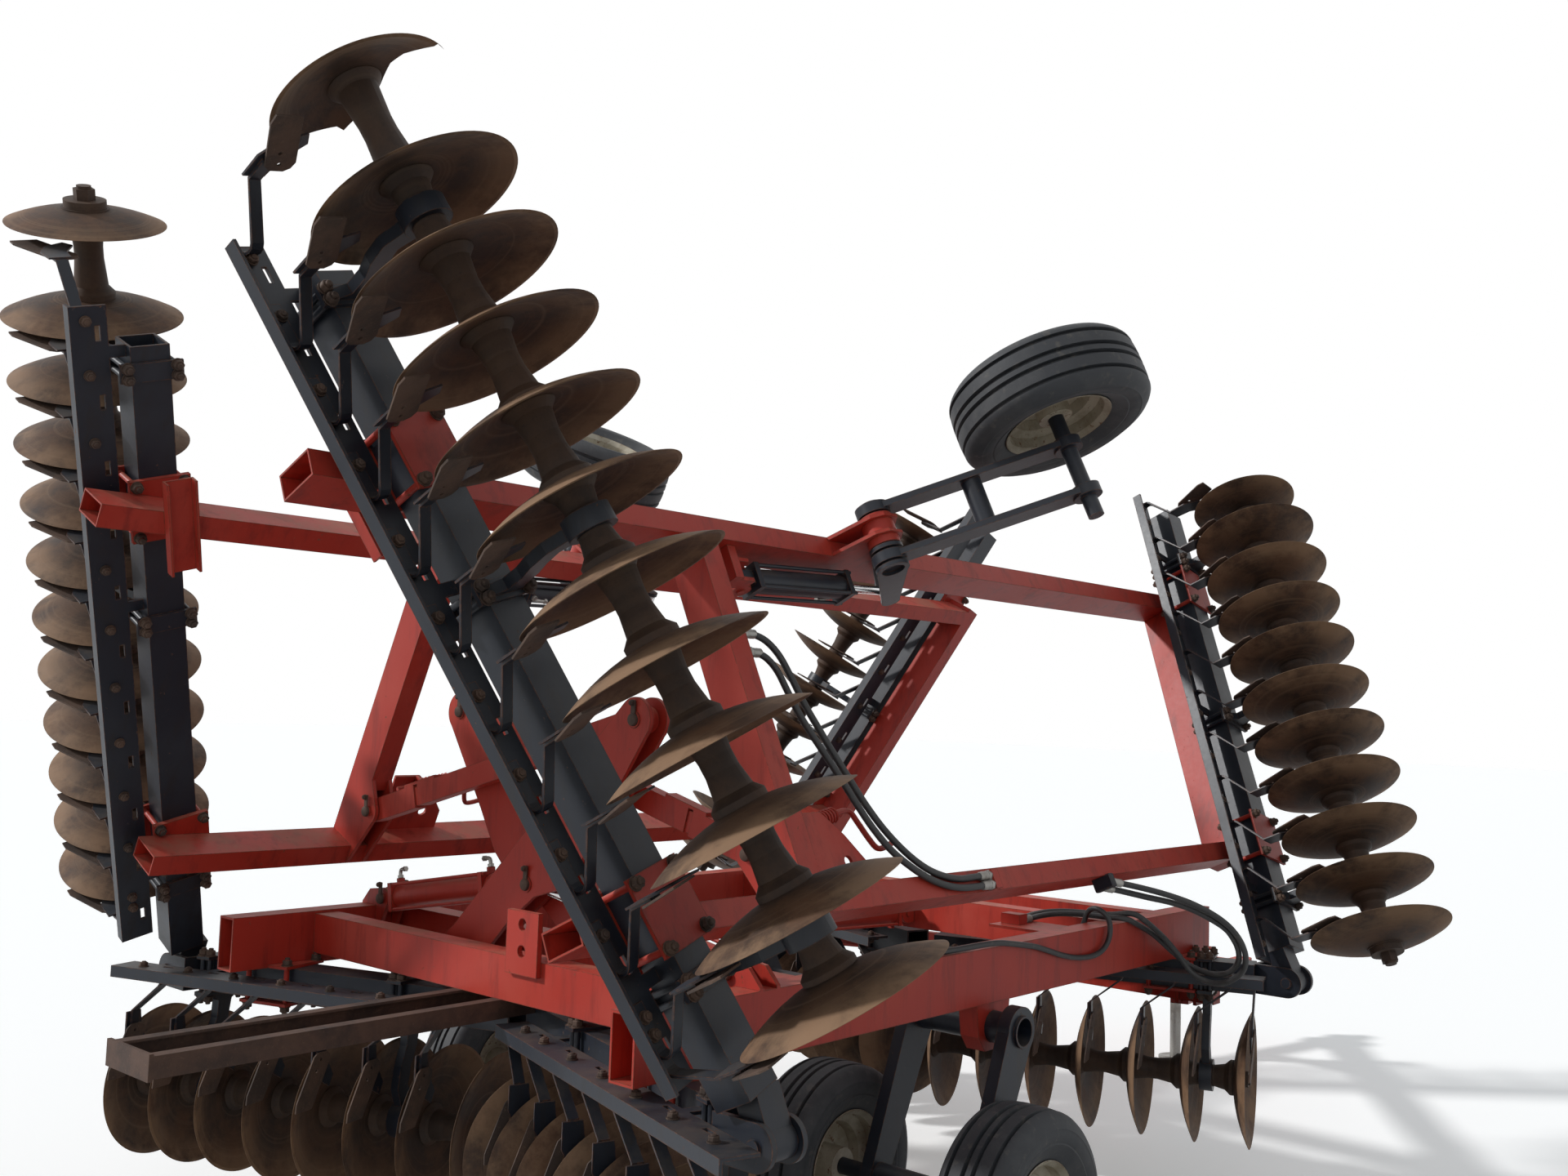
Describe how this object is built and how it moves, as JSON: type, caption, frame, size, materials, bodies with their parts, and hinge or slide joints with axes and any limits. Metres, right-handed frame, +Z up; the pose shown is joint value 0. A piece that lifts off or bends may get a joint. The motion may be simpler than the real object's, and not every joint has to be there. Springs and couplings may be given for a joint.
{
  "type": "folding tandem disc harrow",
  "caption": "Towed tandem disc harrow with folding wings, on transport wheels and tongue jack, wings folded for the road.",
  "frame": {"origin": "on the ground under the middle of the harrow's length and width, folded", "axes": "+Y is the direction of travel, +X the machine's right-hand side, +Z up"},
  "size_m": [4.428, 7.7337, 3.7422],
  "materials": {
    "black_hose": "dusty black rubber hose",
    "black_paint": "worn blue-black enamel",
    "chrome_rod": "polished hard chrome",
    "cream_rim": "chalky enamel with dirt",
    "disc_steel": "brown rust with polished patches",
    "red_paint": "weathered gloss enamel, chalky on top faces",
    "rusty_channel": "dark brown rust",
    "tyre_rubber": "weathered ribbed rubber"
  },
  "bodies": {
    "frame": {"main_frame": "red_paint", "center_gang_beams": "black_paint", "center_scraper_bars": "black_paint", "tongue": "red_paint", "hitch_clevis": "red_paint", "jack_sleeve": "red_paint", "rear_drawbars": "rusty_channel", "rail_hose": "black_hose", "wing_feed_hose": "black_hose", "wing_return_hose": "black_hose"},
    "left_wing": {"left_wing_frame": "red_paint", "left_wing_gang_beams": "black_paint", "left_wing_scraper_bars": "black_paint"},
    "right_wing": {"right_wing_frame": "red_paint", "right_wing_gang_beams": "black_paint", "right_wing_scraper_bars": "black_paint", "wing_lift_hose": "black_hose", "wing_lower_hose": "black_hose"},
    "front_left_inner_gang": {"front_left_inner_gang": "disc_steel"},
    "front_left_outer_gang": {"front_left_outer_gang": "disc_steel"},
    "front_right_inner_gang": {"front_right_inner_gang": "disc_steel"},
    "front_right_outer_gang": {"front_right_outer_gang": "disc_steel"},
    "rear_left_inner_gang": {"rear_left_inner_gang": "disc_steel"},
    "rear_left_outer_gang": {"rear_left_outer_gang": "disc_steel"},
    "rear_right_inner_gang": {"rear_right_inner_gang": "disc_steel"},
    "rear_right_outer_gang": {"rear_right_outer_gang": "disc_steel"},
    "lift_rockshaft": {"lift_rockshaft": "black_paint"},
    "left_twin_wheels": {"left_twin_tyres": "tyre_rubber", "left_twin_rims": "cream_rim"},
    "right_twin_wheels": {"right_twin_tyres": "tyre_rubber", "right_twin_rims": "cream_rim"},
    "lift_barrel": {"lift_cylinder": "red_paint"},
    "lift_rod": {"lift_rod": "chrome_rod"},
    "left_wing_rockshaft": {"left_wing_rockshaft": "black_paint"},
    "left_wing_wheel": {"left_wing_tyre": "tyre_rubber", "left_wing_rim": "cream_rim"},
    "left_wing_barrel": {"left_wing_cylinder": "black_paint"},
    "left_wing_rod": {"left_wing_rod": "chrome_rod"},
    "right_wing_rockshaft": {"right_wing_rockshaft": "black_paint"},
    "right_wing_wheel": {"right_wing_tyre": "tyre_rubber", "right_wing_rim": "cream_rim"},
    "right_wing_barrel": {"right_wing_cylinder": "black_paint"},
    "right_wing_rod": {"right_wing_rod": "chrome_rod"},
    "left_mast": {"left_mast": "red_paint"},
    "left_fold_link": {"left_fold_link": "red_paint"},
    "left_fold_barrel": {"left_fold_cylinder": "red_paint"},
    "left_fold_rod": {"left_fold_rod": "chrome_rod"},
    "right_mast": {"right_mast": "red_paint"},
    "right_fold_link": {"right_fold_link": "red_paint"},
    "right_fold_barrel": {"right_fold_cylinder": "red_paint"},
    "right_fold_rod": {"right_fold_rod": "chrome_rod"},
    "jack_leg": {"jack_leg": "chrome_rod"}
  },
  "joints": [
    {"name": "left_wing_fold", "type": "hinge", "parent": "frame", "child": "left_wing", "pos_m": [-1.585, -1.03514, 0.95], "axis": [0, -1, 0], "range_deg": [0, 115]},
    {"name": "right_wing_fold", "type": "hinge", "parent": "frame", "child": "right_wing", "pos_m": [1.585, -1.03514, 0.95], "axis": [0, 1, 0], "range_deg": [0, 115]},
    {"name": "front_left_inner_spin", "type": "hinge", "parent": "frame", "child": "front_left_inner_gang", "pos_m": [-0.11525, 0.19231, 0.51], "axis": [-0.9511, 0.309, 0], "continuous": true},
    {"name": "front_left_outer_spin", "type": "hinge", "parent": "left_wing", "child": "front_left_outer_gang", "pos_m": [-1.95039, 0.69553, 1.20755], "axis": [0.4019, 0.309, 0.8619], "continuous": true},
    {"name": "front_right_inner_spin", "type": "hinge", "parent": "frame", "child": "front_right_inner_gang", "pos_m": [0.11525, 0.19231, 0.51], "axis": [0.9511, 0.309, 0], "continuous": true},
    {"name": "front_right_outer_spin", "type": "hinge", "parent": "right_wing", "child": "front_right_outer_gang", "pos_m": [1.95039, 0.69553, 1.20755], "axis": [-0.4019, 0.309, 0.8619], "continuous": true},
    {"name": "rear_left_inner_spin", "type": "hinge", "parent": "frame", "child": "rear_left_inner_gang", "pos_m": [-0.12646, -2.26623, 0.51], "axis": [-0.9511, -0.309, 0], "continuous": true},
    {"name": "rear_left_outer_spin", "type": "hinge", "parent": "left_wing", "child": "rear_left_outer_gang", "pos_m": [-1.87601, -2.82299, 1.36706], "axis": [0.4019, -0.309, 0.8619], "continuous": true},
    {"name": "rear_right_inner_spin", "type": "hinge", "parent": "frame", "child": "rear_right_inner_gang", "pos_m": [0.12646, -2.26623, 0.51], "axis": [0.9511, -0.309, 0], "continuous": true},
    {"name": "rear_right_outer_spin", "type": "hinge", "parent": "right_wing", "child": "rear_right_outer_gang", "pos_m": [1.87601, -2.82299, 1.36706], "axis": [-0.4019, -0.309, 0.8619], "continuous": true},
    {"name": "wheel_lift", "type": "hinge", "parent": "frame", "child": "lift_rockshaft", "pos_m": [0, -1.01514, 0.925], "axis": [-1, 0, 0], "range_deg": [0, 41]},
    {"name": "left_twin_roll", "type": "hinge", "parent": "lift_rockshaft", "child": "left_twin_wheels", "pos_m": [-0.58, -1.26341, 0.37], "axis": [1, 0, 0], "continuous": true},
    {"name": "right_twin_roll", "type": "hinge", "parent": "lift_rockshaft", "child": "right_twin_wheels", "pos_m": [0.58, -1.26341, 0.37], "axis": [1, 0, 0], "continuous": true},
    {"name": "lift_cylinder_swing", "type": "hinge", "parent": "frame", "child": "lift_barrel", "pos_m": [0, -0.05514, 1.125], "axis": [-1, 0, 0], "range_deg": [-5, 5]},
    {"name": "lift_rod_slide", "type": "slide", "parent": "lift_barrel", "child": "lift_rod", "axis": [0, -0.9991, 0.0422], "range_m": [-0.2, 0]},
    {"name": "left_wing_wheel_lift", "type": "hinge", "parent": "left_wing", "child": "left_wing_rockshaft", "pos_m": [-0.83913, -1.37314, 2.71516], "axis": [-0.4226, 0, -0.9063], "range_deg": [0, 35]},
    {"name": "left_wing_wheel_roll", "type": "hinge", "parent": "left_wing_rockshaft", "child": "left_wing_wheel", "pos_m": [-1.28754, -0.94014, 3.24424], "axis": [-0.4226, 0, -0.9063], "continuous": true},
    {"name": "left_wing_cylinder_swing", "type": "hinge", "parent": "left_wing", "child": "left_wing_barrel", "pos_m": [-0.63216, -1.92914, 2.50831], "axis": [-0.4226, 0, -0.9063], "range_deg": [-2, 12]},
    {"name": "left_wing_rod_slide", "type": "slide", "parent": "left_wing_barrel", "child": "left_wing_rod", "axis": [-0.0639, 0.9975, 0.0298], "range_m": [-0.18, 0]},
    {"name": "right_wing_wheel_lift", "type": "hinge", "parent": "right_wing", "child": "right_wing_rockshaft", "pos_m": [0.83913, -1.37314, 2.71516], "axis": [-0.4226, 0, 0.9063], "range_deg": [0, 35]},
    {"name": "right_wing_wheel_roll", "type": "hinge", "parent": "right_wing_rockshaft", "child": "right_wing_wheel", "pos_m": [1.28754, -0.94014, 3.24424], "axis": [-0.4226, 0, 0.9063], "continuous": true},
    {"name": "right_wing_cylinder_swing", "type": "hinge", "parent": "right_wing", "child": "right_wing_barrel", "pos_m": [0.63216, -1.92914, 2.50831], "axis": [-0.4226, 0, 0.9063], "range_deg": [-2, 12]},
    {"name": "right_wing_rod_slide", "type": "slide", "parent": "right_wing_barrel", "child": "right_wing_rod", "axis": [0.0639, 0.9975, 0.0298], "range_m": [-0.18, 0]},
    {"name": "left_mast_swing", "type": "hinge", "parent": "frame", "child": "left_mast", "pos_m": [-0.35, -2.27014, 1.13], "axis": [0, -1, 0], "range_deg": [-1, 85]},
    {"name": "left_link_swing", "type": "hinge", "parent": "left_wing", "child": "left_fold_link", "pos_m": [-0.985, -2.27014, 1.6], "axis": [0, -1, 0], "range_deg": [-97, 1]},
    {"name": "left_fold_cylinder_swing", "type": "hinge", "parent": "frame", "child": "left_fold_barrel", "pos_m": [1.01, -2.27014, 1.245], "axis": [0, -1, 0], "range_deg": [-3, 3]},
    {"name": "left_fold_rod_slide", "type": "slide", "parent": "left_fold_barrel", "child": "left_fold_rod", "axis": [-0.9853, 0, 0.1706], "range_m": [0, 0.64]},
    {"name": "right_mast_swing", "type": "hinge", "parent": "frame", "child": "right_mast", "pos_m": [0.35, -2.16514, 1.13], "axis": [0, 1, 0], "range_deg": [-1, 85]},
    {"name": "right_link_swing", "type": "hinge", "parent": "right_wing", "child": "right_fold_link", "pos_m": [0.985, -2.16514, 1.6], "axis": [0, 1, 0], "range_deg": [-97, 1]},
    {"name": "right_fold_cylinder_swing", "type": "hinge", "parent": "frame", "child": "right_fold_barrel", "pos_m": [-1.01, -2.16514, 1.245], "axis": [0, 1, 0], "range_deg": [-3, 3]},
    {"name": "right_fold_rod_slide", "type": "slide", "parent": "right_fold_barrel", "child": "right_fold_rod", "axis": [0.9853, 0, 0.1706], "range_m": [0, 0.64]},
    {"name": "jack_raise", "type": "slide", "parent": "frame", "child": "jack_leg", "axis": [0, 0, 1], "range_m": [0, 0.3]}
  ],
  "couplings": [
    {"joint": "lift_cylinder_swing", "follows": "wheel_lift", "ratio": 0.009822},
    {"joint": "lift_rod_slide", "follows": "wheel_lift", "m_per_rad": -0.25432},
    {"joint": "left_wing_cylinder_swing", "follows": "left_wing_wheel_lift", "ratio": 0.23747},
    {"joint": "left_wing_rod_slide", "follows": "left_wing_wheel_lift", "m_per_rad": -0.27939},
    {"joint": "right_wing_cylinder_swing", "follows": "right_wing_wheel_lift", "ratio": 0.23747},
    {"joint": "right_wing_rod_slide", "follows": "right_wing_wheel_lift", "m_per_rad": -0.27939},
    {"joint": "left_mast_swing", "follows": "left_wing_fold", "ratio": 0.72581},
    {"joint": "left_link_swing", "follows": "left_wing_fold", "ratio": -0.82804},
    {"joint": "left_fold_cylinder_swing", "follows": "left_wing_fold", "ratio": -0.004814},
    {"joint": "left_fold_rod_slide", "follows": "left_wing_fold", "m_per_rad": 0.31395},
    {"joint": "right_mast_swing", "follows": "right_wing_fold", "ratio": 0.72581},
    {"joint": "right_link_swing", "follows": "right_wing_fold", "ratio": -0.82804},
    {"joint": "right_fold_cylinder_swing", "follows": "right_wing_fold", "ratio": -0.004814},
    {"joint": "right_fold_rod_slide", "follows": "right_wing_fold", "m_per_rad": 0.31395}
  ]
}
